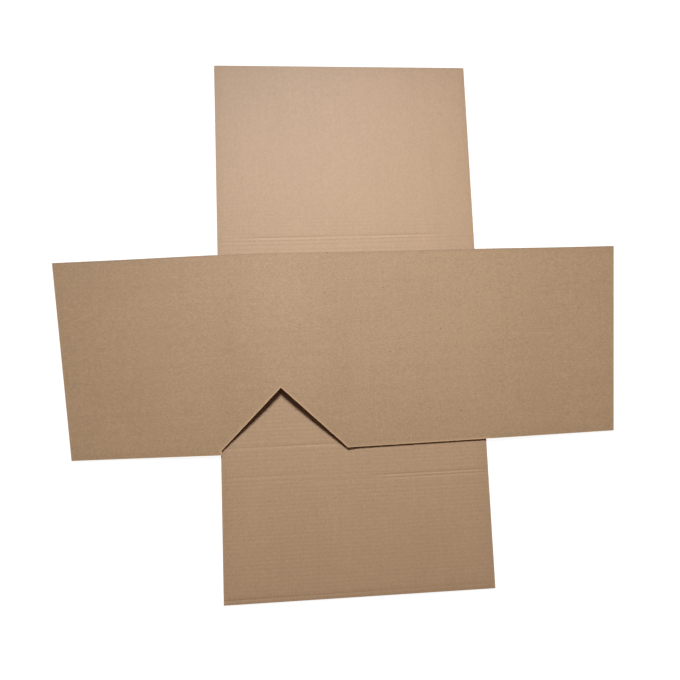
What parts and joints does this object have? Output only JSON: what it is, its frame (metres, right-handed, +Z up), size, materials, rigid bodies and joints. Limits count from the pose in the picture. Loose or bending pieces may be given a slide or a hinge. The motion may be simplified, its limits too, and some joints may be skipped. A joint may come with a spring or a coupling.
{
  "type": "flattened cardboard wrap",
  "caption": "Flat cross-shaped mailing wrap of corrugated kraft board: a notched band glued across a scored base strip, ready to fold round a flat item.",
  "frame": {"origin": "middle of the base strip's underside, on the table", "axes": "+X along the cross band to its right arm, +Y along the base strip away from the notch, +Z up"},
  "size_m": [0.4724, 0.443, 0.0084],
  "materials": {
    "strip_board": "matt uncoated kraft paper",
    "band_board": "matt uncoated kraft paper"
  },
  "bodies": {
    "root": {"base_strip": "strip_board", "cross_band": "band_board"}
  },
  "joints": []
}
